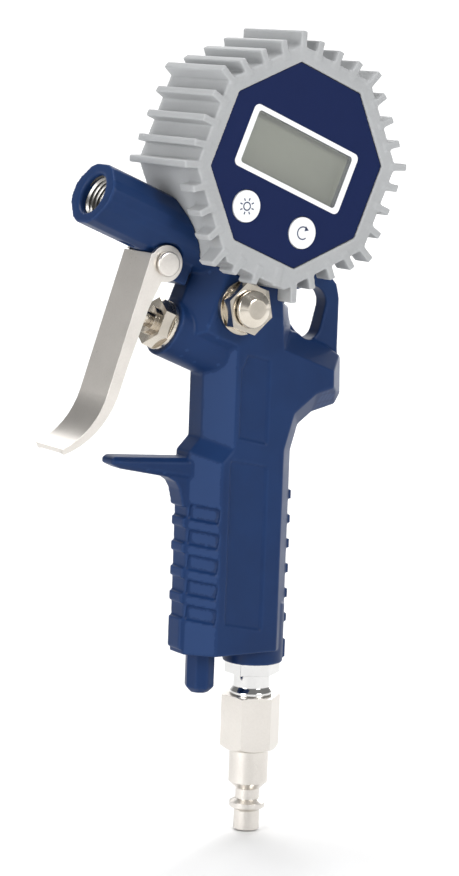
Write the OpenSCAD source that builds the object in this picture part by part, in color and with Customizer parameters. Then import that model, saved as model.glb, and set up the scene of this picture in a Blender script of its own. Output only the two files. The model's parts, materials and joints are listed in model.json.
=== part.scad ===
// Tyre inflator with a digital gauge: a die-cast pistol grip, a squeeze lever,
// an inline valve, a bleed button and a booted octagonal gauge on top.
// Z runs up the inlet and the grip, -X is the outlet and lever side, and the gauge
// looks along -Y. The origin is the centre of the air plug's nose end.

/* [Casting] */
// Angle of the barrel, valve and gauge from the horizontal
rake = 22.5; // [18:0.5:26]
// Thickness of the casting, side to side
body_t = 24; // [20:0.1:29]
// Width of the bevelled flanks round the casting
flank = 8; // [5:0.5:9]
// Depth of the grip, front to back
grip_depth = 39.5; // [33:0.1:48]
// Distance from the inlet axis to the back of the grip
grip_rear = 9.3; // [9:0.1:12]
// Height of the shoulder where the grip meets the neck
shoulder_z = 72; // [70:0.5:76]
// Height of the teeth along both edges of the grip
tooth_h = 1.2; // [0.4:0.1:1.5]
// Spacing of the teeth
tooth_pitch = 8.3; // [7:0.1:10]
// Diameter of the round boss round the inlet
inlet_boss_d = 20; // [18:0.5:24]
// Drop of the inlet boss below the grip's front end
inlet_boss_h = 5.1; // [3:0.1:8]

/* [Outlet] */
// Distance of the barrel's mouth from the casting's datum, along the rake
barrel_reach = 121.5; // [112:0.5:135]
// Height of the barrel's axis above the datum, across the rake
barrel_rise = 118; // [116:0.5:120]
// Radius of the tapped outlet
outlet_r = 6.5; // [5:0.1:6.8]
// Depth of the tapped outlet
outlet_depth = 15; // [10:0.5:18]
// Width of the countersink round the outlet
outlet_chamfer = 0.7; // [0.4:0.1:1.2]

/* [Valve] */
// Height of the valve's axis above the datum, across the rake
valve_rise = 89.2; // [87:0.2:92]
// Radius of the boss round the valve
valve_boss_r = 9.5; // [9:0.1:12]
// Radius of the valve's stem
stem_r = 2.5; // [2:0.1:3]
// Running clearance of the stem in its nut
stem_gap = 0.05; // [0.02:0.01:0.1]
// Radius of the valve's bore
valve_bore_r = 5.4; // [5.2:0.1:6.4]
// Width across flats of the gland nut
gland_af = 14; // [13:0.5:16]

/* [Lever] */
// Width of the lever over its side flanges
lever_w = 17; // [15:0.5:20]
// Thickness of the lever's plate
lever_plate = 1.6; // [1.2:0.1:2]
// Radius of the lever's ears
ear_r = 5.9; // [5.2:0.1:6.8]
// Radius of the pivot pin
pin_r = 2.5; // [2:0.1:3]
// Running clearance of the lever on its pin
pin_gap = 0.05; // [0.02:0.01:0.1]
// Radius of the pin's head
pin_head_r = 4; // [3.5:0.1:4.8]

/* [Bleed button] */
// Width across flats of the bleed valve's nut
bleed_af = 15; // [14:0.1:18]
// Radius of the button
bleed_button_r = 6; // [5:0.1:6.7]
// Travel of the button
bleed_travel = 2; // [1:0.1:2.2]

/* [Gauge] */
// Distance between opposite flats of the gauge's case
case_af = 64.6; // [64:0.1:78]
// Depth of the gauge's case, front to back
case_depth = 32.5; // [32:0.5:38]
// Thickness of the rubber boot
boot_wall = 2.9; // [1.8:0.1:3.2]
// Height of the ribs on the boot
rib_h = 4.1; // [2:0.1:4.5]
// Thickness of each rib
rib_t = 2.3; // [1.4:0.1:2.8]
// Length of the display's window
lcd_w = 39.4; // [34:0.2:42]
// Height of the display's window
lcd_h = 17.6; // [14:0.2:20]
// Radius of each key
key_r = 5.1; // [4:0.1:5.6]
// Travel of each key
key_travel = 0.5; // [0.2:0.1:0.6]

/* [Air plug] */
// Width across flats of the plug's hexagon
plug_af = 17.4; // [16:0.1:20]
// Length of the plug's hexagon
plug_hex_h = 18.6; // [15:0.2:22]
// Radius of the plug's nose
nose_r = 4.3; // [3.9:0.05:4.8]
// Length of the plug's nose
nose_h = 6.4; // [5:0.1:8]
// Radius of the plug's collar
collar_r = 5.95; // [5.5:0.05:6.5]
// Radius of the plug's round body
plug_body_r = 6.55; // [6.1:0.05:7.2]

/* [Hidden] */

$fn = 48;
slack = 0.3;
seat = 0.05;
far = 400;

// Air plug and inlet fitting, from the nose upwards
groove_h = 3.4;
groove_r = 4.05;
collar_h = 4;
plug_taper_h = 2.4;
plug_body_h = 11.2;
plug_bore_r = 2.5;
plug_hex_z = nose_h + collar_h + groove_h + plug_taper_h + plug_body_h;
plug_top = plug_hex_z + plug_hex_h;
fitting_neck_h = 7.4;
fitting_hex_h = 4;
fitting_af = 16;
fitting_neck_r = 6.1;
fitting_foot_r = 7.2;
fitting_bore_r = 3.5;
thread_r = 6.5;
thread_up = 10;
thread_down = 9;
// Height of the casting's datum, the face of its inlet boss
datum_z = plug_top + fitting_neck_h + fitting_hex_h;

// Casting, measured from its datum
half_t = body_t / 2;
grip_front = grip_rear - grip_depth;
neck_front = grip_front + 4.4;
inlet_bore_r = thread_r + seat;
passage_r = 3;
tooth_depth = 3;
tooth_t = 3.2;

// Places along (u) and across (p) the rake
function raked(u, p) = [u * cos(rake) + p * sin(rake), p * cos(rake) - u * sin(rake)];
barrel_half_w = half_t - 0.3;
barrel_half_h = 9.9;
boss_face = -79;
saddle_p = 112.9;
barrel_root = -50;
core_end = barrel_root + 0.7;

// Valve, along the rake
gland_thread_r = 6;
gland_thread_h = 7;
gland_flange_r = gland_af / 2 + 1.2;
gland_flange_h = 1.5;
gland_hex_h = 4;
seat_u = boss_face + 18;
seat_h = 4;
seat_hole_r = stem_r + 0.1;
poppet_u = seat_u + seat_h;
seal_h = 1.4;
poppet_h = 3;
chamber_end = boss_face + 41;
oring_w = 1.8;

// Lever and its pin
pin_u = boss_face - 12.7;
pin_p = 106.6;
pin_at = raked(pin_u, pin_p);
lug_half_w = lever_w / 2 - lever_plate - slack;
lever_top = pin_at + [-5.5, 3.5];
lever_lean = 18.5;
lever_straight = 47;
lever_curl = 50;
lever_curl_r = 27;
lever_lip = 2.4;

// Bleed valve, on the near side
bleed_flange_r = bleed_af / 2 + 1.3;
bleed_p = saddle_p - bleed_flange_r - 0.4;
bleed_at = raked(boss_face + 17.1, bleed_p);
bleed_flange_h = 1.6;
bleed_hex_h = 3.6;
bleed_neck_h = 0.8;
bleed_thread_r = 5;
bleed_thread_h = 8.3;
bleed_dish_h = bleed_travel + 0.2;
bleed_stem_r = 1.5;
bleed_face = -half_t - bleed_flange_h - bleed_neck_h - bleed_hex_h;

// Gauge, in a frame of its own: u and p from the middle of the case, y as in the row
case_half = case_af / 2;
boot_half = case_half + boot_wall;
pad = 2.5;
boot_front = -25;
lip_t = 1;
plate_t = 2;
shell_t = 2;
plate_front = boot_front + lip_t;
plate_back = plate_front + plate_t;
case_back = plate_front + case_depth;
split_y = plate_front + 10;
window_half = case_half - 2;
gauge_u = boss_face + 9.9;
gauge_p = saddle_p + boot_half + pad;
boot_back_t = 1.5;
lcd_at = [-1, 1.7];
border = 2.1;
light_at = case_half * [-0.39, -0.588];
unit_at = case_half * [0.331, -0.579];
board_y = plate_back + 5;
board_t = 1.6;
lcd_t = 2.8;
film_t = 0.4;
key_gap = 0.2;
tube_r = 5;
tube_flange_af = 13;
tube_end = boot_half + pad + 5.5;
battery_r = 5.25;
battery_l = 44.5;
battery_gap = 0.3;
battery_y = case_back - shell_t - battery_r - battery_gap;
battery_p = [-3.2, 8.4];
bay_w = battery_l + 5.5;
bay_h = 24.2;
bay_p = (battery_p[0] + battery_p[1]) / 2;
bay_wall = 1.4;
tab_w = 10;
tab_h = 6;
door_screw_p = bay_p - bay_h / 2 - 2.6;
screw_r = 1.25;
screw_head_r = 2.4;
post_r = 2.8;
screw_at = case_half * [[0.279, 0.768], [-0.279, 0.768], [0.666, -0.433], [-0.666, -0.433]];

// ---- helpers ----
module at_datum() { translate([0, 0, datum_z]) children(); }
module on_rake() { at_datum() rotate([0, rake, 0]) children(); }
module at_gauge() { on_rake() translate([gauge_u, 0, gauge_p]) children(); }
// A flat shape in XZ, drawn out along Y
module across(y0, y1) { translate([0, y1, 0]) rotate([90, 0, 0]) linear_extrude(y1 - y0) children(); }
// A round bar along Y, X or Z
module bar_y(r, y0, y1, x = 0, z = 0) {
    translate([x, y1, z]) rotate([90, 0, 0]) cylinder(r = r, h = y1 - y0);
}
module bar_x(r, x0, x1, y = 0, z = 0) {
    translate([x0, y, z]) rotate([0, 90, 0]) cylinder(r = r, h = x1 - x0);
}
module bar_z(r, z0, z1, x = 0, y = 0) { translate([x, y, z0]) cylinder(r = r, h = z1 - z0); }
function corner_r(across_flats, sides) = across_flats / 2 / cos(180 / sides);
module octagon(half) { rotate(22.5) circle(r = half / cos(22.5), $fn = 8); }
module rounded_rect(w, h, r) {
    square([w, h - 2 * r], center = true);
    square([w - 2 * r, h], center = true);
    for (x = [-1, 1], y = [-1, 1]) translate([x * (w / 2 - r), y * (h / 2 - r)]) circle(r = r);
}
// One 45-degree bevel along the edge from a to b of a plate of half thickness t
module bevel(a, b, t, w) {
    d = b - a;
    translate([a[0], 0, a[1]]) rotate([0, -atan2(d[1], d[0]), 0])
        for (m = [0, 1]) mirror([0, m, 0]) translate([-far / 2, 0, 0]) rotate([90, 0, 90])
            linear_extrude(far) polygon([[t - w, -1], [t - w, 0], [t, w], [t + 1, w + 1], [t + 1, -1]]);
}
// A convex plate in XZ, counterclockwise, with a bevel along each edge listed
module bevelled_plate(points, t, w, edges) {
    difference() {
        across(-t, t) polygon(points);
        for (i = edges) bevel(points[i], points[(i + 1) % len(points)], t, w);
    }
}
// A coil spring along Z as one swept tube
module coil(r, wire_r, h, turns) {
    sides = 6;
    steps = 14;
    rings = turns * steps;
    function ring_at(k) = [for (j = [0:sides - 1]) let (a = 360 * k / steps, b = 360 * j / sides)
        [(r + wire_r * cos(b)) * cos(a), (r + wire_r * cos(b)) * sin(a),
            wire_r + (h - 2 * wire_r) * k / rings + wire_r * sin(b)]];
    points = [for (k = [0:rings]) each ring_at(k)];
    walls = [for (k = [0:rings - 1], j = [0:sides - 1]) let (n = (j + 1) % sides)
        [k * sides + j, (k + 1) * sides + j, (k + 1) * sides + n, k * sides + n]];
    ends = [[for (j = [0:sides - 1]) j], [for (j = [sides - 1:-1:0]) rings * sides + j]];
    polyhedron(points, concat(walls, ends), convexity = 10);
}

// ---- casting ----
module tooth(x, z, h) {
    translate([x, 0, z]) cube([tooth_depth, 2 * (half_t - flank) - 0.4, h], center = true);
}
module grip_teeth() {
    front = grip_front - tooth_h + tooth_depth / 2;
    rear = grip_rear + tooth_h - tooth_depth / 2;
    for (k = [0:3]) tooth(front, 48.8 - k * tooth_pitch, tooth_t);
    for (k = [0:5]) tooth(rear, 55.9 - k * tooth_pitch, tooth_t);
    tooth(front, inlet_boss_h + 6.9, 10.3);
    tooth(rear, 3.9, 6.6);
}
module grip_pockets() {
    depth = 0.9;
    for (k = [0:4], m = [0, 1]) mirror([0, m, 0])
        translate([grip_front, flank - half_t, 52.6 - k * tooth_pitch]) rotate([0, 0, -45])
            rotate([0, 7, 0]) translate([0.6, -2, -2.5]) cube([flank * sqrt(2) - 1.2, 2 + depth, 5]);
    for (m = [0, 1]) mirror([0, m, 0]) across(-half_t - 1, 0.7 - half_t) {
        polygon([[-19.2, 15.5], [-4.8, 12.6], [-4.8, 67], [-19.2, 69.9]]);
        polygon([[-5.2, 74.3], [-5.2, 101.8], [-14, 104], [-14.8, 101.5], [-16.2, 99], [-16.2, 76.8]]);
    }
}
module casting_solid() {
    grip_teeth();
    bar_z(inlet_boss_d / 2, 0, 20);
    bevelled_plate([[grip_front, inlet_boss_h], [grip_rear, inlet_boss_h], [grip_rear, shoulder_z + 9],
            [-12, shoulder_z + 14], [neck_front, shoulder_z + 4.5], [grip_front, shoulder_z]],
        half_t, flank, [1, 4, 5]);
    // Neck, then the block behind the valve's boss
    bevelled_plate([[neck_front, shoulder_z - 3], [grip_rear - 0.5, shoulder_z - 3], [grip_rear - 0.5, 98],
            [6.9, 118], [-20, 128], [neck_front, 110]],
        half_t, flank, [1, 2, 5]);
    bevelled_plate([raked(boss_face + 0.4, 84), raked(core_end, 84), raked(core_end, 122.4),
            raked(boss_face + 0.4, 122.4)],
        half_t, flank, [0, 3]);
    // Hump at the back, and the sweep from the grip up to it
    bevelled_plate([[-10, 79.5], [14, 82.3], [26.3, 85.4], [28.4, 89], [28, 101], [22, 105.2], [10.3, 109.7],
            [-10, 116]],
        half_t, flank, [0, 1, 2, 3, 4, 5, 6]);
    bevelled_plate([[-10, shoulder_z - 1.5], [grip_rear - 0.1, shoulder_z - 1.5], [grip_rear + 3.3, 81.6],
            [grip_rear + 3.3, 90.5], [-10, 90.5]],
        half_t, flank, [1]);
    bevelled_plate([[-10.4, 76.3], [grip_rear + 1.7, 78.6], [grip_rear + 8.7, 83.7], [grip_rear + 8.7, 94.6],
            [-10.4, 94.6]],
        half_t, flank, [1]);
    // Finger guard
    bevelled_plate([[-27, 62], [-27, 69.9], [-57.2, 71.9], [-58.7, 70.9], [-58.7, 69.3], [-55.3, 67.7],
            [-37.2, 64]],
        4.8, 1.6, [1, 2, 3, 4, 5, 6]);
    across(0.2 + flank - half_t, half_t - flank - 0.2)
        polygon([[-28, 54], [-28, 63], [-39, 64.6], [-37.2, 63.9], [-34.6, 62.3], [-33.1, 59.8],
            [-32.2, 56.1], [-31.8, 54]]);
    barrel();
    rotate([0, rake, 0]) bar_x(valve_boss_r, boss_face, boss_face + 40, 0, valve_rise);
    rotate([0, rake, 0]) translate([pin_u - pin_r - 0.8, 0.1 - lug_half_w, pin_p - pin_r - 1.1])
        cube([14, 2 * lug_half_w - 0.2, pin_r + 7]);
    translate([-20.7, 0, -8.8]) cylinder(r1 = 3, r2 = 5, h = 2, $fn = 8);
    translate([-20.7, 0, -6.8]) cylinder(r = 5, h = 14, $fn = 8);
}
module barrel() {
    h = barrel_half_h;
    w = barrel_half_w;
    side = [[-3, h], [-6.3, h - 1], [1.4 - w, 4.9], [-w, 2.2], [-w, -1.4], [1.1 - w, -3.9], [-6.4, 1.5 - h],
        [-3, -h]];
    rotate([0, rake, 0]) translate([-barrel_reach, 0, barrel_rise]) rotate([90, 0, 90])
        linear_extrude(barrel_reach + barrel_root)
            polygon(concat(side, [for (v = reversed(side)) [-v[0], v[1]]]));
}
module hang_web() {
    web = 3.2;
    across(-web, web) polygon([[-12, 100], [28, 98], [27.3, 104], [27.3, 121], [26.2, 125.2], [23, 128.8],
        [17, 132.6], [15, 140], [-12, 128]]);
}
module hang_hole() {
    across(-far / 2, far / 2) hull() {
        translate([11.2, 118]) circle(r = 5.9, $fn = 32);
        translate([16.4, 119.2]) circle(r = 5.7, $fn = 32);
        translate([15.3, 112.2]) circle(r = 5, $fn = 32);
    }
}
module saddle_cut() {
    rotate([0, rake, 0]) translate([gauge_u, 0, gauge_p]) across(-far / 2, far / 2) boot_outline(seat);
}
module galleries() {
    bar_z(inlet_bore_r, -1, thread_up + 1);
    bar_z(passage_r, 0, 97);
    rotate([0, rake, 0]) {
        bar_x(gland_thread_r + seat, boss_face - 1, boss_face + gland_thread_h + 0.5, 0, valve_rise);
        bar_x(valve_bore_r, boss_face, chamber_end, 0, valve_rise);
        bar_x(outlet_r, -barrel_reach - 1, -barrel_reach + outlet_depth, 0, barrel_rise);
        translate([-barrel_reach - 0.1, 0, barrel_rise]) rotate([0, 90, 0])
            cylinder(r1 = outlet_r + outlet_chamfer + 0.1, r2 = outlet_r, h = outlet_chamfer + 0.1);
        bar_x(passage_r - 0.5, outlet_depth - barrel_reach - 1, gauge_u - 27, 0, barrel_rise);
        translate([gauge_u - 25, 0, barrel_rise + 0.1]) rotate([0, -138, 0])
            translate([0, 0, -2]) cylinder(r = 2, h = 34);
        bar_z(tube_r + seat, gauge_p - tube_end - 0.8, gauge_p, gauge_u);
        bar_z(1.5, valve_rise, gauge_p - tube_end, gauge_u);
        bar_x(1.1, gauge_u + 0.4, gauge_u + 8, 0, bleed_p);
    }
    bar_y(bleed_thread_r + seat, -far, bleed_thread_h - half_t, bleed_at[0], bleed_at[1]);
    bar_y(4.2, -half_t, 1.5, bleed_at[0], bleed_at[1]);
}
module ear_recess() {
    for (m = [0, 1]) mirror([0, m, 0]) bar_y(ear_r + 0.8, -half_t - 1, -lug_half_w, pin_at[0], pin_at[1]);
    rotate([0, rake, 0]) translate([pin_u - 30, -half_t - 1, pin_p - 25])
        cube([30 - 7, body_t + 2, 25 + 1.2]);
    bar_y(pin_r + seat, -half_t, half_t, pin_at[0], pin_at[1]);
}
module body_casting() {
    color("navy") at_datum() difference() {
        union() {
            casting_solid();
            hang_web();
        }
        saddle_cut();
        hang_hole();
        grip_pockets();
        ear_recess();
        galleries();
    }
}

// ---- lever ----
// The lever's front face, from its top edge to the tip
function lever_knee() = lever_top - lever_straight * [sin(lever_lean), cos(lever_lean)];
function lever_arc(t, inset) = lever_knee() + lever_curl_r * [-cos(lever_lean), sin(lever_lean)]
    + (lever_curl_r + inset) * [cos(lever_lean + t), -sin(lever_lean + t)];
function lever_face(inset) = concat([lever_top + inset * [cos(lever_lean), -sin(lever_lean)]],
    [for (k = [0:8]) lever_arc(lever_curl * k / 8, inset)]);
function reversed(v) = [for (i = [len(v) - 1:-1:0]) v[i]];
module lever_side() {
    difference() {
        union() {
            polygon(concat(lever_face(0.2),
                [for (k = [8:-1:0]) lever_arc(lever_curl * k / 8, lever_plate + lever_lip * (1 - k / 9))],
                [lever_knee() + [7.5, 9.4], pin_at + [-6, -13.8], pin_at + [-1.6, -5.6],
                    pin_at + [0, ear_r - 1]]));
            translate(pin_at) circle(r = ear_r);
        }
        translate(pin_at) circle(r = pin_r + pin_gap);
    }
}
module trigger_lever() {
    half = lever_w / 2;
    color("silver") at_datum() {
        across(-half, half) polygon(concat(lever_face(0), reversed(lever_face(lever_plate))));
        for (y = [-half, half - lever_plate]) across(y, y + lever_plate) lever_side();
    }
}
module trigger_pin() {
    half = lever_w / 2;
    color("gainsboro") at_datum() translate([pin_at[0], 0, pin_at[1]]) {
        bar_y(pin_r, -half - 0.5, half + 2.4);
        bar_y(pin_head_r, -half - 2, -half - slack);
    }
}
module trigger_pin_clip() {
    half = lever_w / 2;
    color("dimgray") at_datum() translate([pin_at[0], 0, pin_at[1]]) difference() {
        bar_y(pin_head_r, half + slack, half + 1.2);
        bar_y(pin_r, half, half + 2);
        translate([-1.4, half, -pin_head_r - 1]) cube([2.8, 2, pin_head_r + 1]);
    }
}

// ---- valve ----
module hexagon_x(across_flats, x0, x1) {
    translate([x0, 0, valve_rise]) rotate([0, 90, 0])
        cylinder(r = corner_r(across_flats, 6), h = x1 - x0, $fn = 6);
}
module valve_gland_nut() {
    front = boss_face - gland_flange_h - gland_hex_h;
    color("silver") on_rake() difference() {
        union() {
            bar_x(gland_flange_r, boss_face - gland_flange_h, boss_face, 0, valve_rise);
            hexagon_x(gland_af, front, boss_face - gland_flange_h);
            bar_x(4.6, front - 1.4, front, 0, valve_rise);
            bar_x(gland_thread_r, boss_face, boss_face + gland_thread_h, 0, valve_rise);
        }
        bar_x(stem_r + stem_gap, front - 2, boss_face + gland_thread_h + 1, 0, valve_rise);
        bar_x(stem_r + stem_gap + oring_w - 0.05, boss_face + 2, boss_face + 2 + oring_w, 0, valve_rise);
    }
}
module gland_oring() {
    cord_r = oring_w / 2 - 0.05;
    color("black") on_rake() translate([boss_face + 2 + oring_w / 2, 0, valve_rise]) rotate([0, 90, 0])
        rotate_extrude() translate([stem_r + stem_gap + cord_r, 0]) circle(r = cord_r, $fn = 24);
}
lever_inner_u = (lever_top * [cos(rake), -sin(rake)]) + lever_plate
    + (lever_top * [sin(rake), cos(rake)] - valve_rise) * tan(rake - lever_lean);
stem_tip = lever_inner_u + slack;
module valve_stem() {
    color("gainsboro") on_rake() difference() {
        union() {
            translate([stem_tip + 1.5, 0, valve_rise]) rotate([0, -90, 0])
                cylinder(r1 = stem_r, r2 = 1.4, h = 1.5);
            bar_x(stem_r, stem_tip + 1.5, seat_u - 2, 0, valve_rise);
            bar_x(1.5, seat_u - 2, poppet_u + 1, 0, valve_rise);
            bar_x(4.2, poppet_u + 0.1 + seal_h, poppet_u + seal_h + poppet_h, 0, valve_rise);
            bar_x(1.5, poppet_u, poppet_u + seal_h + 0.5, 0, valve_rise);
            bar_x(1.6, poppet_u + seal_h + poppet_h, poppet_u + seal_h + poppet_h + 4, 0, valve_rise);
        }
    }
}
module valve_seat() {
    color("goldenrod") on_rake() difference() {
        bar_x(valve_bore_r - 0.02, seat_u, poppet_u, 0, valve_rise);
        bar_x(seat_hole_r, seat_u - 1, poppet_u + 1, 0, valve_rise);
    }
}
module valve_seal() {
    color("black") on_rake() difference() {
        bar_x(4, poppet_u + 0.1, poppet_u + 0.1 + seal_h, 0, valve_rise);
        bar_x(1.5, poppet_u, poppet_u + seal_h + 1, 0, valve_rise);
    }
}
module valve_spring() {
    start = poppet_u + seal_h + poppet_h;
    color("silver") on_rake() translate([start, 0, valve_rise]) rotate([0, 90, 0])
        coil(2.9, 0.45, chamber_end - start, 7);
}

// ---- bleed valve ----
module at_bleed() { at_datum() translate([bleed_at[0], 0, bleed_at[1]]) children(); }
module bleed_nut() {
    hex_back = bleed_face + bleed_hex_h;
    shoulder = bleed_thread_h - half_t - 4;
    color("silver") at_bleed() difference() {
        union() {
            bar_y(bleed_flange_r, -half_t - bleed_flange_h, -half_t);
            bar_y(bleed_af / 2, hex_back, -half_t);
            translate([0, hex_back, 0]) rotate([90, 19, 0])
                cylinder(r = corner_r(bleed_af, 6), h = bleed_hex_h, $fn = 6);
            bar_y(bleed_thread_r, -half_t, bleed_thread_h - half_t);
        }
        bar_y(bleed_button_r + 0.15, bleed_face - 1, bleed_face + bleed_dish_h);
        bar_y(3.5, bleed_face, shoulder);
        bar_y(bleed_stem_r + seat, shoulder - 1, 0);
    }
}
module bleed_button() {
    inner = bleed_thread_h - half_t;
    color("white") at_bleed() {
        bar_y(3.2, bleed_face - 0.7, bleed_face + 0.2);
        bar_y(bleed_button_r, bleed_face - 2, bleed_face - 0.6);
        translate([0, bleed_face - 2, 0]) rotate([90, 0, 0])
            cylinder(r1 = bleed_button_r, r2 = 3.4, h = 1.7);
        bar_y(bleed_stem_r, bleed_face, inner + 1.8);
        bar_y(2.6, inner + 1.7, inner + 2.7);
    }
}
module bleed_seal() {
    inner = bleed_thread_h - half_t;
    color("black") at_bleed() difference() {
        bar_y(3.4, inner + 0.1, inner + 1.7);
        bar_y(bleed_stem_r, inner - 1, inner + 3);
    }
}
module bleed_spring() {
    start = bleed_face + 0.2;
    shoulder = bleed_thread_h - half_t - 4;
    color("silver") at_bleed() translate([0, shoulder, 0]) rotate([90, 0, 0])
        coil(2.6, 0.35, shoulder - start, 6);
}

// ---- gauge ----
module boot_outline(grow) {
    h = boot_half + grow;
    t = h * tan(22.5);
    polygon([[h, -t], [h, t], [t, h], [-t, h], [-h, t], [-h, -t], [pad - t, -h - pad], [t - pad, -h - pad]]);
}
module boot_ribs() {
    flat_w = 2 * boot_half * tan(22.5);
    start = boot_front - 0.3;
    long = case_back + 0.2 - start;
    for (side = [0:7], k = [0:3]) {
        at = -flat_w / 2 + k * flat_w / 4;
        short = side == 6 || side == 7 || (side == 5 && k > 0) || (side == 0 && k == 0);
        on_pad = side == 6 && (k == 1 || k == 2);
        by_pad = k == 0 && (side == 6 || side == 7);
        by_nut = side == 6 && k == 3;
        lift = on_pad ? 0.4 * pad : by_pad ? pad / 2 : by_nut ? -1.2 : 0;
        rotate([0, -side * 45, 0]) translate([boot_half - 1 + lift, 0, at])
            rotate([0, -atan2(at, boot_half), 0])
            translate([-1, start, -rib_t / 2])
                cube([rib_h + (k == 0 ? 2.3 : 2), short ? 8 : long, rib_t]);
    }
}
module gauge_boot() {
    color("lightgray") at_gauge() difference() {
        union() {
            across(boot_front, case_back + boot_back_t) boot_outline(0);
            boot_ribs();
        }
        across(plate_front, case_back) octagon(case_half + seat);
        across(boot_front - 1, plate_front + 1) octagon(window_half);
        across(case_back - 1, case_back + 5) octagon(window_half - 2);
        bar_z(tube_r + slack, -60, -20);
    }
}
module front_housing() {
    color("dimgray") at_gauge() difference() {
        union() {
            difference() {
                across(plate_front, split_y - slack) octagon(case_half);
                across(plate_back, split_y + 1) octagon(case_half - shell_t);
            }
            for (at = screw_at) bar_y(post_r, plate_back - 0.5, split_y - slack, at[0], at[1]);
        }
        across(plate_front - 1, plate_back + 1) translate(lcd_at) rounded_rect(lcd_w + 0.2, lcd_h + 0.2, 1.2);
        for (at = [light_at, unit_at]) bar_y(key_r + key_gap, plate_front - 1, plate_back + 1, at[0], at[1]);
        for (at = screw_at) bar_y(screw_r + seat, board_y - 2.5, split_y + 1, at[0], at[1]);
    }
}
module bay(grow) {
    translate([0, bay_p]) square([bay_w + 2 * grow, bay_h + 2 * grow], center = true);
}
module door_outline(gap) {
    bay(-gap);
    translate([0, bay_p - bay_h / 2]) square([tab_w - 2 * gap, 2 * tab_h - 2 * gap], center = true);
}
module rear_housing() {
    floor_y = case_back - shell_t;
    bay_y = battery_y - battery_r - battery_gap;
    color("dimgray") at_gauge() difference() {
        union() {
            difference() {
                across(split_y + slack, case_back) octagon(case_half);
                across(split_y, floor_y) octagon(case_half - shell_t);
            }
            for (at = screw_at) bar_y(post_r, split_y + slack, floor_y + 0.5, at[0], at[1]);
            bar_y(post_r, floor_y - 7, floor_y, 0, door_screw_p);
            across(bay_y - bay_wall, floor_y + 0.5) bay(bay_wall);
        }
        across(bay_y, case_back + 1) bay(0);
        across(floor_y, case_back + 1) door_outline(0);
        for (at = screw_at) {
            bar_y(screw_r + seat, split_y, case_back + 1, at[0], at[1]);
            bar_y(screw_head_r + 0.2, case_back - 1.6, case_back + 1, at[0], at[1]);
        }
        bar_y(screw_r + seat, floor_y - 6, floor_y + 1, 0, door_screw_p);
        bar_z(tube_r + seat, -case_half - 1, -20);
    }
}
module housing_gasket() {
    color("black") at_gauge() difference() {
        across(split_y - slack, split_y + slack) octagon(case_half);
        across(split_y - 1, split_y + 1) octagon(case_half - shell_t);
    }
}
// A cross-headed screw whose head's face is at y, running forward into the case
module screw(x, z, y, shank) {
    difference() {
        union() {
            bar_y(screw_r, y - shank, y - 1, x, z);
            bar_y(screw_head_r, y - 1.4, y, x, z);
        }
        translate([x, y, z]) cube([3.2, 1.6, 0.6], center = true);
        translate([x, y, z]) cube([0.6, 1.6, 3.2], center = true);
    }
}
module housing_screws() {
    color("silver") at_gauge() for (at = screw_at)
        screw(at[0], at[1], case_back - 0.2, case_back - board_y + 1.5);
}
module battery_door() {
    color("dimgray") at_gauge() difference() {
        across(case_back - shell_t, case_back) door_outline(0.15);
        bar_y(screw_r + seat, case_back - 5, case_back + 1, 0, door_screw_p);
        bar_y(screw_head_r + 0.2, case_back - 1.6, case_back + 1, 0, door_screw_p);
        for (k = [-2:2]) translate([k * 2.4, case_back, bay_p + bay_h / 2 - 5])
            cube([1.1, 1, 5], center = true);
    }
}
module battery_door_screw() {
    color("silver") at_gauge() screw(0, door_screw_p, case_back - 0.2, 7);
}
module batteries() {
    color("orange") at_gauge() for (i = [0, 1]) mirror([i, 0, 0]) {
        bar_x(battery_r, -battery_l / 2, battery_l / 2 - 1, battery_y, battery_p[i]);
        bar_x(1.9, battery_l / 2 - 1.1, battery_l / 2, battery_y, battery_p[i]);
    }
}
module battery_contacts() {
    plate = 0.5;
    color("gold") at_gauge() for (m = [0, 1]) mirror([m, 0, 0]) {
        translate([bay_w / 2 - plate, battery_y - 4, bay_p - 9.5]) cube([plate, 8, 19]);
        for (p = battery_p) bar_x(2.2, battery_l / 2, bay_w / 2 - plate / 2, battery_y, p);
    }
}
module circuit_board() {
    color("darkgreen") at_gauge() difference() {
        across(board_y, board_y + board_t) octagon(case_half - shell_t - 0.5);
        for (at = screw_at) bar_y(post_r + slack, board_y - 1, board_y + board_t + 1, at[0], at[1]);
    }
}
module key_switches() {
    color("black") at_gauge() for (at = [light_at, unit_at]) {
        across(board_y - 1.6, board_y) translate(at) square([6, 6], center = true);
        bar_y(1.7, board_y - 2.2, board_y - 1.6, at[0], at[1]);
    }
}
module lcd_panel() {
    color("olive") at_gauge() across(plate_back, plate_back + lcd_t) translate(lcd_at)
        square([lcd_w + 3, lcd_h + 3], center = true);
}
module lcd_connector() {
    color("pink") at_gauge() for (s = [-1, 1]) across(plate_back + lcd_t, board_y)
        translate(lcd_at + [0, s * (lcd_h / 2)]) square([lcd_w, 1.8], center = true);
}
module lcd_window() {
    color("lightblue", 0.4) at_gauge() across(plate_front - film_t + 0.1, plate_back) translate(lcd_at)
        rounded_rect(lcd_w, lcd_h, 1.1);
}
module lcd_frame() {
    color("white") at_gauge() difference() {
        across(plate_front - film_t - 0.3, plate_front - film_t) translate(lcd_at)
            rounded_rect(lcd_w + 2 * border, lcd_h + 1.5 * border, 1.9);
        across(plate_front - 2, plate_front) translate(lcd_at) rounded_rect(lcd_w, lcd_h, 1.1);
    }
}
module front_overlay() {
    color("midnightblue") at_gauge() difference() {
        across(plate_front - film_t, plate_front) octagon(window_half - 0.2);
        across(plate_front - 1, plate_front + 1) translate(lcd_at)
            rounded_rect(lcd_w + 0.2, lcd_h + 0.2, 1.2);
        for (at = [light_at, unit_at]) bar_y(key_r + key_gap, plate_front - 1, plate_back, at[0], at[1]);
    }
}
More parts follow.
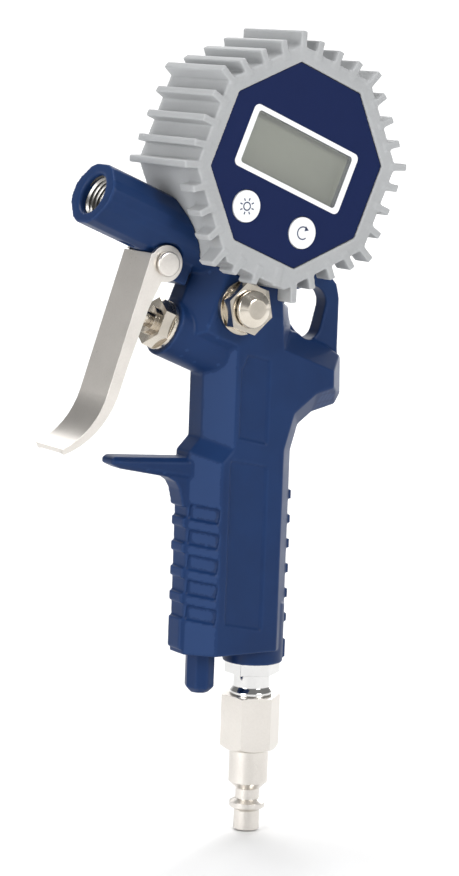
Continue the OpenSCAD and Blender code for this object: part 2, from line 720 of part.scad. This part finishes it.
module key(at) {
    color("white") at_gauge() translate([at[0], 0, at[1]]) {
        bar_y(key_r, plate_front - 0.9, plate_back + 0.1);
        bar_y(key_r + 0.8, plate_back + 0.1, plate_back + 0.7);
        bar_y(2, plate_back + 0.6, board_y - 2.5 - key_travel);
    }
}
module light_button() { key(light_at); }
module unit_button() { key(unit_at); }
module gauge_stem() {
    color("goldenrod") at_gauge() difference() {
        union() {
            bar_z(tube_r, -tube_end, -24);
            translate([0, 0, shell_t - case_half + 0.7])
                cylinder(r = corner_r(tube_flange_af, 6), h = 4, $fn = 6);
        }
        bar_z(1.5, -tube_end - 1, -20);
    }
}
module stem_seal() {
    color("black") at_gauge() difference() {
        bar_z(6.4, shell_t - case_half + 0.1, shell_t - case_half + 0.7);
        bar_z(tube_r, -case_half, -20);
    }
}
module pressure_sensor() {
    color("silver") at_gauge() difference() {
        bar_z(6, -24, -17);
        bar_z(1.5, -25, -19);
    }
}

// ---- inlet ----
module inlet_fitting() {
    color("white") difference() {
        union() {
            bar_z(thread_r, plug_top - thread_down, plug_top + 1);
            bar_z(fitting_foot_r, plug_top, plug_top + 1.2);
            translate([0, 0, plug_top + 1.2]) cylinder(r1 = fitting_foot_r, r2 = fitting_neck_r, h = 1.6);
            bar_z(fitting_neck_r, plug_top + 1, plug_top + fitting_neck_h + 1);
            translate([0, 0, plug_top + fitting_neck_h]) rotate(33.3)
                cylinder(r = corner_r(fitting_af, 6), h = fitting_hex_h, $fn = 6);
            bar_z(thread_r, datum_z - 1, datum_z + thread_up);
        }
        bar_z(fitting_bore_r, plug_top - thread_down - 1, datum_z + thread_up + 1);
    }
}
module inlet_screen() {
    color("silver") difference() {
        bar_z(fitting_bore_r - 0.05, datum_z + 2, datum_z + thread_up);
        bar_z(fitting_bore_r - 0.6, datum_z + 1, datum_z + thread_up - 0.6);
    }
}
module air_plug() {
    collar_z = nose_h;
    groove_z = collar_z + collar_h;
    taper_z = groove_z + groove_h;
    color("silver") difference() {
        union() {
            bar_z(nose_r, 0, collar_z + 0.5);
            rotate_extrude() polygon([[0, collar_z], [nose_r, collar_z], [collar_r, collar_z + 1.2],
                [collar_r, groove_z - 1.2], [groove_r, groove_z], [groove_r, taper_z],
                [plug_body_r, taper_z + plug_taper_h], [plug_body_r, plug_hex_z], [0, plug_hex_z]]);
            intersection() {
                translate([0, 0, plug_hex_z]) rotate(39.7)
                    cylinder(r = corner_r(plug_af, 6), h = plug_hex_h, $fn = 6);
                translate([0, 0, plug_hex_z]) rotate_extrude() polygon([[0, 0], [plug_af / 2 - 0.6, 0],
                    [plug_af / 2 + 1.8, 1.6], [plug_af / 2 + 1.8, plug_hex_h - 0.5],
                    [plug_af / 2 + 0.4, plug_hex_h], [0, plug_hex_h]]);
            }
        }
        bar_z(plug_bore_r, -1, plug_top + 1);
        bar_z(thread_r + seat, plug_top - thread_down - 1, plug_top + 1);
    }
}

body_casting();
trigger_lever();
trigger_pin();
trigger_pin_clip();
valve_gland_nut();
gland_oring();
valve_stem();
valve_seat();
valve_seal();
valve_spring();
bleed_nut();
bleed_button();
bleed_seal();
bleed_spring();
gauge_boot();
front_housing();
rear_housing();
housing_gasket();
housing_screws();
battery_door();
battery_door_screw();
batteries();
battery_contacts();
circuit_board();
key_switches();
lcd_connector();
lcd_panel();
lcd_window();
lcd_frame();
front_overlay();
light_button();
unit_button();
pressure_sensor();
gauge_stem();
stem_seal();
inlet_fitting();
inlet_screen();
air_plug();
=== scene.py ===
import json
import math
import bpy
import bmesh
from mathutils import Matrix, Vector


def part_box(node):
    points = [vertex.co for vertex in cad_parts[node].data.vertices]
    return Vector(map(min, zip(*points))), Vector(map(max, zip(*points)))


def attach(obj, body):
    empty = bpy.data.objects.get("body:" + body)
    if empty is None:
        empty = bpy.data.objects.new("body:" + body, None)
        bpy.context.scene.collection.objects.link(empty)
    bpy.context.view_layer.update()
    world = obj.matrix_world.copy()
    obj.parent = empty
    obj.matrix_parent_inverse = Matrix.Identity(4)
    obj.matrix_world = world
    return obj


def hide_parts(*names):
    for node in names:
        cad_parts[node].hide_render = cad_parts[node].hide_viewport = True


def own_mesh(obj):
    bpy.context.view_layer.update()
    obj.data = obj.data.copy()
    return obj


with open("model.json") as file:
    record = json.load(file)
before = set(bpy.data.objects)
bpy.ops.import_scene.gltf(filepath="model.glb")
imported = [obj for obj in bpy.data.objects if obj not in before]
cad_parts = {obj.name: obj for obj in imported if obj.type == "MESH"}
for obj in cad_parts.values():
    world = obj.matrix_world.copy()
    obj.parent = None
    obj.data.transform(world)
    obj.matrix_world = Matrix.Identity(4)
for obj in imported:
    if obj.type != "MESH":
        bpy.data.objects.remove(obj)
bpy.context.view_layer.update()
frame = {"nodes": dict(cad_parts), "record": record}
print("frame loaded:", len(frame["nodes"]), "nodes")

mm = 0.001
scene = bpy.context.scene

# where things are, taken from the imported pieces
rake = math.radians(22.5)
alongRake = Vector((math.cos(rake), 0, -math.sin(rake)))
acrossRake = Vector((math.sin(rake), 0, math.cos(rake)))
outlet = next(m for m in frame["record"]["mounts"] if m["name"] == "outlet_port")


# shader building: a thin wrapper round a socket, so maths reads as maths
class Wire:
    def __init__(self, look, socket):
        self.look, self.socket = look, socket

    def math(self, operation, other):
        return self.look.add("ShaderNodeMath", {"operation": operation}, {0: self, 1: other})

    def __add__(self, other): return self.math("ADD", other)
    def __mul__(self, other): return self.math("MULTIPLY", other)


class Look:
    def __init__(self, name, **fixed):
        self.material = bpy.data.materials.new(name)
        self.material.use_nodes = True
        self.tree = self.material.node_tree
        self.shader = self.tree.nodes["Principled BSDF"]
        for socket, value in fixed.items():
            self.shader.inputs[socket.replace("_", " ")].default_value = value
        self.place = self.add("ShaderNodeTexCoord", {}, {}, "Object")

    def add(self, kind, settings, sockets, output=0):
        made = self.tree.nodes.new(kind)
        for key, value in settings.items():
            if key == "stops":
                ramp = made.color_ramp.elements
                while len(ramp) < len(value):
                    ramp.new(0.5)
                for stop, (at, shade) in zip(ramp, value):
                    stop.position, stop.color = at, shade
            else:
                setattr(made, key, value)
        for key, value in sockets.items():
            if isinstance(value, Wire):
                self.tree.links.new(value.socket, made.inputs[key])
            else:
                made.inputs[key].default_value = value
        return Wire(self, made.outputs[output])

    def feed(self, socket, wire):
        self.tree.links.new(wire.socket, self.shader.inputs[socket])
        return self

    def noise(self, scale, detail=3.0, roughness=0.55, place=None):
        sockets = {"Vector": place or self.place, "Scale": scale, "Detail": detail, "Roughness": roughness}
        return self.add("ShaderNodeTexNoise", {"noise_dimensions": "3D"}, sockets)

    def stretched(self, x, y, z):
        return self.add("ShaderNodeMapping", {}, {"Vector": self.place, "Scale": (x, y, z)}, "Vector")

    def band(self, wire, low, high, toLow=0.0, toHigh=1.0):
        return self.add("ShaderNodeMapRange", {"clamp": True},
                        {"Value": wire, "From Min": low, "From Max": high, "To Min": toLow, "To Max": toHigh})

    def blendColours(self, factor, first, second):
        made = self.tree.nodes.new("ShaderNodeMix")
        made.data_type = "RGBA"
        for socket, value in ((made.inputs[0], factor), (made.inputs[6], first), (made.inputs[7], second)):
            if isinstance(value, Wire):
                self.tree.links.new(value.socket, socket)
            else:
                socket.default_value = value
        return Wire(self, made.outputs[2])

    def bump(self, height, strength, distance):
        sockets = {"Height": height, "Strength": strength, "Distance": distance}
        return self.feed("Normal", self.add("ShaderNodeBump", {}, sockets))

    def edges(self, low=0.505, high=0.56):
        # pointiness mask of the convex edges, used to paint edge highlights
        paintedEdgeLight = self.add("ShaderNodeNewGeometry", {}, {}, "Pointiness")
        return self.band(paintedEdgeLight, low, high)


def rgb(red, green, blue):
    return (red, green, blue, 1.0)


# painted casting: deep navy, orange-peel bumps and paler high edges, which are a painted highlight on the
# convex edges
# edge is a paler navy, painted on the convex edges as a highlight
castPaint = {"colour": rgb(0.0065, 0.027, 0.096), "dark": rgb(0.0052, 0.0215, 0.079),
             "edge": rgb(0.02, 0.05, 0.145),
             "roughness": 0.40, "peelScale": 1100, "peelDepth": 0.05}


def makeCastPaint():
    p = castPaint
    look = Look("castNavy", Specular_IOR_Level=0.17)
    cloud = look.noise(45, 4)
    peel = look.noise(p["peelScale"], 2)
    fine = look.noise(p["peelScale"] * 3.1, 2)
    base = look.blendColours(look.band(cloud, 0.35, 0.68), p["dark"], p["colour"])
    # paler navy on the convex edges: a painted edge highlight
    look.feed("Base Color", look.blendColours(look.edges() * 0.55, base, p["edge"]))
    look.feed("Roughness", look.band(cloud * 0.7 + fine * 0.3, 0.3, 0.7, p["roughness"] - 0.05,
                                     p["roughness"] + 0.09))
    look.bump(peel * 0.7 + fine * 0.3, 0.32, p["peelDepth"] * mm)
    return look.material


def makeMetal(name, colour, shade, roughness, grain, depth, stretch=(1, 1, 1), spread=0.08):
    look = Look(name, Metallic=1.0)
    place = look.stretched(*stretch)
    sand = look.noise(grain, 3, 0.6, place)
    cloud = look.noise(60, 3)
    look.feed("Base Color", look.blendColours(look.band(cloud * 0.6 + sand * 0.4, 0.3, 0.7), shade, colour))
    look.feed("Roughness", look.band(sand * 0.6 + cloud * 0.4, 0.3, 0.7, roughness - spread,
                                     roughness + spread))
    look.bump(sand, 0.25, depth * mm)
    return look.material


def makeRubber(name, colour, shade, roughness, grain):
    look = Look(name, Specular_IOR_Level=0.4, Sheen_Weight=0.12, Sheen_Roughness=0.45)
    cloud = look.noise(70, 4)
    pores = look.noise(grain, 2)
    # lighter rubber on the convex edges: a painted edge highlight
    paintedEdgeHighlight = look.edges(0.5, 0.57)
    base = look.blendColours(look.band(cloud * 0.6 + pores * 0.4, 0.32, 0.68), shade, colour)
    look.feed("Base Color", look.blendColours(paintedEdgeHighlight * 0.35, base,
                                              rgb(*[min(1, c * 1.35) for c in colour[:3]])))
    look.feed("Roughness", look.band(pores, 0.3, 0.7, roughness - 0.07, roughness + 0.07))
    look.bump(pores, 0.3, 0.05 * mm)
    return look.material


def makePlastic(name, colour, roughness, grain, depth=0.03, lift=0.12, coat=0.0, gloss=0.5):
    look = Look(name, Specular_IOR_Level=gloss, Coat_Weight=coat, Coat_Roughness=0.12)
    fleck = look.noise(grain, 2)
    cloud = look.noise(40, 3)
    shade = rgb(*[c * (1 - lift) for c in colour[:3]])
    look.feed("Base Color", look.blendColours(look.band(cloud * 0.5 + fleck * 0.5, 0.35, 0.65), shade,
                                              colour))
    look.feed("Roughness", look.band(fleck, 0.3, 0.7, max(0.02, roughness - 0.05), roughness + 0.05))
    look.bump(fleck, 0.15, depth * mm)
    return look.material


def makeDisplay():
    # blank reflective display: olive grey, lighter towards its upper end as a painted reflection, with the
    # pixel layer's faint rows
    look = Look("displayGlass", Specular_IOR_Level=0.5, Coat_Weight=0.5, Coat_Roughness=0.1)
    apart = look.add("ShaderNodeSeparateXYZ", {}, {"Vector": look.place}, "Z")
    cloud = look.noise(26, 2)
    # lighter towards the upper end: a painted reflection
    paintedReflection = look.band(apart + cloud * 0.02, 0.2, 0.255)
    look.feed("Base Color", look.blendColours(paintedReflection, rgb(0.185, 0.195, 0.150), rgb(0.27, 0.28, 0.225)))
    look.feed("Roughness", look.band(look.noise(900, 1), 0.3, 0.7, 0.3, 0.4))
    look.bump(look.noise(2400, 1), 0.06, 0.02 * mm)
    return look.material


def makeWindow():
    look = Look("clearWindow", Roughness=0.06, IOR=1.46, Alpha=0.1, Base_Color=rgb(0.9, 0.93, 0.93))
    look.feed("Roughness", look.band(look.noise(500, 1), 0.3, 0.7, 0.04, 0.09))
    return look.material


looks = {
    "cast_navy": makeCastPaint(),
    "nickel_satin": makeMetal("nickelSatin", rgb(0.78, 0.745, 0.70), rgb(0.68, 0.645, 0.60), 0.34, 1500,
                              0.02),
    "nickel_bright": makeMetal("nickelBright", rgb(0.74, 0.685, 0.60), rgb(0.62, 0.565, 0.485), 0.17, 900,
                               0.01, spread=0.04),
    "chrome": makeMetal("chromeBright", rgb(0.76, 0.755, 0.745), rgb(0.68, 0.675, 0.665), 0.10, 700, 0.006,
                        spread=0.03),
    "spring_steel": makeMetal("springSteel", rgb(0.56, 0.56, 0.57), rgb(0.42, 0.42, 0.43), 0.3, 1200, 0.02),
    "brass": makeMetal("turnedBrass", rgb(0.78, 0.58, 0.26), rgb(0.66, 0.47, 0.19), 0.25, 1200, 0.02),
    "black_rubber": makeRubber("blackRubber", rgb(0.022, 0.022, 0.023), rgb(0.014, 0.014, 0.015), 0.6, 1400),
    "grey_rubber": makeRubber("greyRubber", rgb(0.36, 0.368, 0.375), rgb(0.315, 0.322, 0.328), 0.6, 1300),
    "case_plastic": makePlastic("caseDark", rgb(0.03, 0.033, 0.04), 0.5, 1300, 0.05),
    "black_plastic": makePlastic("switchBlack", rgb(0.02, 0.02, 0.02), 0.45, 1200),
    "overlay_navy": makePlastic("overlayNavy", rgb(0.0045, 0.0125, 0.062), 0.42, 1700, 0.012, 0.08, 0.0,
                                0.12),
    "white_gloss": makePlastic("keyWhite", rgb(0.82, 0.83, 0.84), 0.32, 900, 0.01, 0.03, 0.3),
    "lcd_glass": makeDisplay(),
    "clear_window": makeWindow(),
    "cell_jacket": makePlastic("cellJacket", rgb(0.06, 0.065, 0.08), 0.3, 700),
    "board_green": makePlastic("boardGreen", rgb(0.02, 0.12, 0.05), 0.4, 900),
    "thread_grey": makeMetal("threadGrey", rgb(0.40, 0.39, 0.37), rgb(0.27, 0.26, 0.245), 0.33, 1300, 0.02),
    "icon_ink": makePlastic("iconInk", rgb(0.02, 0.035, 0.1), 0.42, 900, 0.01),
}
print("looks ready:", len(looks))

slotOf = {s["node"]: s["material_slot"] for s in frame["record"]["subparts"]}
bodyOf = {n: body for body, nodes in frame["record"]["behaviour"]["bodies"].items() for n in nodes}


def settle(name, mesh, body, slotName, material=None):
    piece = bpy.data.objects.new(name, mesh)
    scene.collection.objects.link(piece)
    mesh.materials.clear()
    mesh.materials.append(material or looks[slotName])
    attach(piece, body)
    return piece


def applied(piece):
    # bakes the modifiers into the piece's own mesh
    graph = bpy.context.evaluated_depsgraph_get()
    graph.update()
    mesh = bpy.data.meshes.new_from_object(piece.evaluated_get(graph))
    old = piece.data
    piece.modifiers.clear()
    piece.data = mesh
    bpy.data.meshes.remove(old)
    return piece


# angles in degrees, distances in mm
meshing = {"weld": 0.002, "flatWithin": 0.6, "bevelFrom": 28, "sharpFrom": 34, "bevelShape": 0.6,
           "smoothing": 0.5}


def copyOf(node):
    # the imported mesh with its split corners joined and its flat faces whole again
    made = bmesh.new()
    made.from_mesh(frame["nodes"][node].data)
    bmesh.ops.remove_doubles(made, verts=made.verts, dist=meshing["weld"] * mm)
    bmesh.ops.dissolve_limit(made, angle_limit=math.radians(meshing["flatWithin"]),
                             verts=made.verts, edges=made.edges)
    return made


def machined(node, name, width, segments, material=None):
    # a turned, milled or moulded piece: every hard edge gets a small round
    made = copyOf(node)
    sharpest = math.radians(meshing["bevelFrom"])
    hard = [e for e in made.edges if len(e.link_faces) == 2 and e.calc_face_angle(0) > sharpest]
    bmesh.ops.bevel(made, geom=hard, offset=width * mm, segments=segments, profile=meshing["bevelShape"],
                    affect="EDGES", clamp_overlap=True, loop_slide=True)
    mesh = bpy.data.meshes.new(name)
    made.to_mesh(mesh)
    made.free()
    mesh.shade_smooth()
    mesh.set_sharp_from_angle(angle=math.radians(meshing["sharpFrom"]))
    piece = settle(name, mesh, bodyOf[node], slotOf[node], material)
    weigh = piece.modifiers.new("faceWeights", "WEIGHTED_NORMAL")
    weigh.keep_sharp = True
    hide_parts(node)
    return piece


def moulded(node, name, voxel, passes):
    # a cast or moulded piece: edges and inside corners all run round
    made = copyOf(node)
    bmesh.ops.triangulate(made, faces=made.faces)
    mesh = bpy.data.meshes.new(name)
    made.to_mesh(mesh)
    made.free()
    piece = settle(name, mesh, bodyOf[node], slotOf[node])
    remesh = piece.modifiers.new("skin", "REMESH")
    remesh.mode = "VOXEL"
    remesh.voxel_size = voxel * mm
    remesh.use_smooth_shade = True
    soften = piece.modifiers.new("soften", "SMOOTH")
    soften.iterations = passes
    soften.factor = meshing["smoothing"]
    applied(piece)
    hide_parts(node)
    return piece


# casting and boot
casting = {"voxel": 0.42, "passes": 5}
boot = {"voxel": 0.4, "passes": 4}
moulded("body_casting", "castBody", casting["voxel"], casting["passes"])
moulded("gauge_boot", "rubberBoot", boot["voxel"], boot["passes"])
print("casting and boot done")

# bare thread in the outlet, with its countersunk mouth
thread = {"minor": 5.75, "major": 6.4, "start": 6.6, "pitch": 1.41, "turns": 9, "segments": 72,
          "inset": 0.5, "fadeSteps": 30, "sharpFrom": 40}


def outletThread():
    p = thread
    inward = -Vector(outlet["axis"])
    at = Vector(outlet["pos_m"])
    side = Vector((0, 1, 0))
    other = inward.cross(side)
    made = bmesh.new()
    shape = [(p["major"], 0.0), (p["major"], 0.12), (p["minor"], 0.5), (p["minor"], 0.62), (p["major"], 1.0)]
    rows = []
    steps = p["turns"] * p["segments"]
    for k in range(steps + 1):
        a = 2 * math.pi * k / p["segments"]
        out = side * math.cos(a) + other * math.sin(a)
        paintedReflection = min(1.0, k / p["fadeSteps"])
        rows.append([made.verts.new(at + inward * (p["inset"] + (k / p["segments"] + h) * p["pitch"]) * mm
                     + out * (p["start"] + (r - p["start"]) * paintedReflection) * mm) for r, h in shape])
    for low, high in zip(rows, rows[1:]):
        for j in range(len(shape) - 1):
            made.faces.new([low[j], low[j + 1], high[j + 1], high[j]])
    bmesh.ops.recalc_face_normals(made, faces=made.faces)
    mesh = bpy.data.meshes.new("outletThread")
    made.to_mesh(mesh)
    made.free()
    mesh.shade_smooth()
    mesh.set_sharp_from_angle(angle=math.radians(p["sharpFrom"]))
    return settle("outletThread", mesh, "root", "nickel_satin", looks["thread_grey"])


outletThread()
print("outlet done")

# lever, pin and valve
# node: name, width of the rounded edges in mm, segments
leverEdges = {
    "trigger_lever": ("leverPlate", 0.7, 4),
    "trigger_pin": ("leverPin", 0.9, 4),
    "trigger_pin_clip": ("pinClip", 0.15, 2),
    "valve_gland_nut": ("glandNut", 0.35, 3),
    "valve_stem": ("valveStem", 0.25, 2),
    "bleed_nut": ("bleedNut", 0.3, 3),
    "bleed_button": ("bleedButton", 0.7, 4, looks["nickel_bright"]),
}
for node, settings in leverEdges.items():
    machined(node, *settings)


def springy(node, name):
    # the coil copied as it is and shaded smooth, in place of the imported one
    made = copyOf(node)
    mesh = bpy.data.meshes.new(name)
    made.to_mesh(mesh)
    made.free()
    mesh.shade_smooth()
    piece = settle(name, mesh, bodyOf[node], slotOf[node])
    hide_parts(node)
    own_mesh(piece)


springy("valve_spring", "valveCoil")
springy("bleed_spring", "bleedCoil")
print("lever and valves done")

# air inlet
machined("inlet_fitting", "inletNipple", 0.3, 3)
machined("air_plug", "airPlug", 0.3, 3)
print("inlet done")

# gauge: case, film, display and keys
gaugeEdges = {
    "rear_housing": ("caseRear", 0.4, 2),
    "front_housing": ("caseFront", 0.3, 2),
    "battery_door": ("cellDoor", 0.3, 2),
    "housing_screws": ("caseScrews", 0.15, 2),
    "battery_door_screw": ("doorScrew", 0.15, 2),
    "front_overlay": ("faceFilm", 0.12, 2),
    "lcd_frame": ("displayFrame", 0.12, 2),
    "light_button": ("lightKey", 0.3, 3),
    "unit_button": ("unitKey", 0.3, 3),
}
for node, settings in gaugeEdges.items():
    machined(node, *settings)
for node, object3d in frame["nodes"].items():
    if not object3d.hide_render:
        object3d.data.materials.clear()
        object3d.data.materials.append(looks[slotOf[node]])
print("gauge done")

# key marks: a small sun for the light, and a round arrow for the next unit
marks = {"lineWidth": 0.42, "proud": 0.04, "sunRadius": 1.25, "rayFrom": 1.85, "rayTo": 2.75, "rays": 8,
         "arrowRadius": 2.0}


def flatMark(name, outlines, node):
    # closed outlines in mm on the key's face, u to the right along the rake and p up
    low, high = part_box(node)
    centre = Vector(((low.x + high.x) / 2, low.y, (low.z + high.z) / 2))
    made = bmesh.new()
    for outline in outlines:
        front, back = [], []
        for u, p in outline:
            spot = centre + alongRake * u * mm + acrossRake * p * mm
            front.append(made.verts.new(spot + Vector((0, -marks["proud"] * mm, 0))))
            back.append(made.verts.new(spot + Vector((0, 0.03 * mm, 0))))
        made.faces.new(front)
        made.faces.new(back[::-1])
        for k in range(len(front)):
            n = (k + 1) % len(front)
            made.faces.new([front[k], back[k], back[n], front[n]])
    bmesh.ops.recalc_face_normals(made, faces=made.faces)
    mesh = bpy.data.meshes.new(name)
    made.to_mesh(mesh)
    made.free()
    return settle(name, mesh, bodyOf[node], "overlay_navy", looks["icon_ink"])


def stroke(points, width):
    # quads along a line of points
    quads = []
    for (ax, ay), (bx, by) in zip(points, points[1:]):
        d = Vector((bx - ax, by - ay)).normalized() * width / 2
        n = Vector((-d.y, d.x))
        quads.append([(ax + n.x, ay + n.y), (bx + n.x, by + n.y), (bx - n.x, by - n.y), (ax - n.x, ay - n.y)])
    return quads


def arc(radius, start, end, steps):
    return [(radius * math.cos(math.radians(start + (end - start) * k / steps)),
             radius * math.sin(math.radians(start + (end - start) * k / steps))) for k in range(steps + 1)]


def keyMarks():
    w = marks["lineWidth"]
    sun = stroke(arc(marks["sunRadius"], 0, 360, 24), w)
    for k in range(marks["rays"]):
        a = 2 * math.pi * k / marks["rays"]
        sun += stroke([(math.cos(a) * marks["rayFrom"], math.sin(a) * marks["rayFrom"]),
                       (math.cos(a) * marks["rayTo"], math.sin(a) * marks["rayTo"])], w)
    flatMark("lightMark", sun, "light_button")
    r = marks["arrowRadius"]
    turn = stroke(arc(r, 60, 330, 24), w)
    turn.append([(r * 0.5 - 0.75, r * 0.866 + 0.75), (r * 0.5 + 0.85, r * 0.866 - 0.15),
                 (r * 0.5 - 0.65, r * 0.866 - 0.95)])
    flatMark("unitMark", turn, "unit_button")


keyMarks()
print("marks done")

# floor, lights and camera
stage = {"floor": rgb(0.86, 0.86, 0.86), "cloud": rgb(0.84, 0.84, 0.84), "sky": 0.24, "horizon": 1.15,
         "size": 3, "drop": 0.0006}


def makeStage():
    made = bmesh.new()
    bmesh.ops.create_grid(made, x_segments=1, y_segments=1, size=stage["size"])
    mesh = bpy.data.meshes.new("floor")
    made.to_mesh(mesh)
    made.free()
    floor = bpy.data.objects.new("floor", mesh)
    floor.location = (0, 0, -stage["drop"])
    scene.collection.objects.link(floor)
    look = Look("floorPale", Base_Color=stage["floor"], Roughness=0.9)
    cloud = look.band(look.noise(3, 2), 0.3, 0.7)
    look.feed("Base Color", look.blendColours(cloud, stage["cloud"], stage["floor"]))
    mesh.materials.append(look.material)
    # a pale band at the horizon under a darker sky, so metals have something to mirror
    world = bpy.data.worlds.new("studio")
    scene.world = world
    world.use_nodes = True
    tree = world.node_tree
    glow = tree.nodes["Background"]
    glow.inputs["Color"].default_value = rgb(1, 1, 1)
    ray = tree.nodes.new("ShaderNodeTexCoord")
    apart = tree.nodes.new("ShaderNodeSeparateXYZ")
    fall = tree.nodes.new("ShaderNodeMapRange")
    for socket, value in (("From Min", 0.0), ("From Max", 0.32), ("To Min", stage["horizon"]),
                          ("To Max", stage["sky"])):
        fall.inputs[socket].default_value = value
    tree.links.new(ray.outputs["Generated"], apart.inputs["Vector"])
    tree.links.new(apart.outputs["Z"], fall.inputs["Value"])
    tree.links.new(fall.outputs["Result"], glow.inputs["Strength"])


# name: place, what it points at, width, power, height where it isn't square
part = (0, 0, 0.15)
lights = {
    "keyLight": ((0.35, -1.3, 0.9), part, 0.6, 13),
    "sideLight": ((-1.4, -0.3, 0.5), part, 0.8, 13, 1.0),
    "topLight": ((-0.2, 0.3, 1.5), part, 0.6, 9),
    "rimLight": ((1.1, 0.7, 0.5), part, 0.3, 6, 0.9),
    "floorLight": ((1.7, 2.6, 1.9), (1.7, 2.6, 0), 3.2, 95),
}


def softLight(name, at, target, size, power, tall=None):
    data = bpy.data.lights.new(name, "AREA")
    data.shape = "RECTANGLE"
    data.size, data.size_y = size, tall or size
    data.energy = power
    lamp = bpy.data.objects.new(name, data)
    lamp.location = at
    lamp.rotation_euler = (Vector(target) - Vector(at)).to_track_quat("-Z", "Y").to_euler()
    scene.collection.objects.link(lamp)


view = {"target": Vector((-12.2, 0, 132.6)) * mm, "distance": 0.970, "azimuth": -33.33, "elevation": 8.07,
        "roll": 2.06, "lens": 121.8, "sensor": 36}


def makeCamera():
    a, e, r = (math.radians(view[k]) for k in ("azimuth", "elevation", "roll"))
    back = Vector((math.sin(a) * math.cos(e), -math.cos(a) * math.cos(e), math.sin(e)))
    right = Vector((math.cos(a), math.sin(a), 0))
    up = back.cross(right)
    right, up = right * math.cos(r) + up * math.sin(r), up * math.cos(r) - right * math.sin(r)
    data = bpy.data.cameras.new("mainCamera")
    data.sensor_fit = "VERTICAL"
    data.sensor_height = view["sensor"]
    data.sensor_width = view["sensor"]
    data.lens = view["lens"]
    camera = bpy.data.objects.new("mainCamera", data)
    camera.matrix_world = Matrix((right, up, back)).transposed().to_4x4()
    camera.location = view["target"] + back * view["distance"]
    scene.collection.objects.link(camera)
    scene.camera = camera


makeStage()
for name, settings in lights.items():
    softLight(name, *settings)
makeCamera()
scene.view_settings.view_transform = "Standard"
print("stage done")
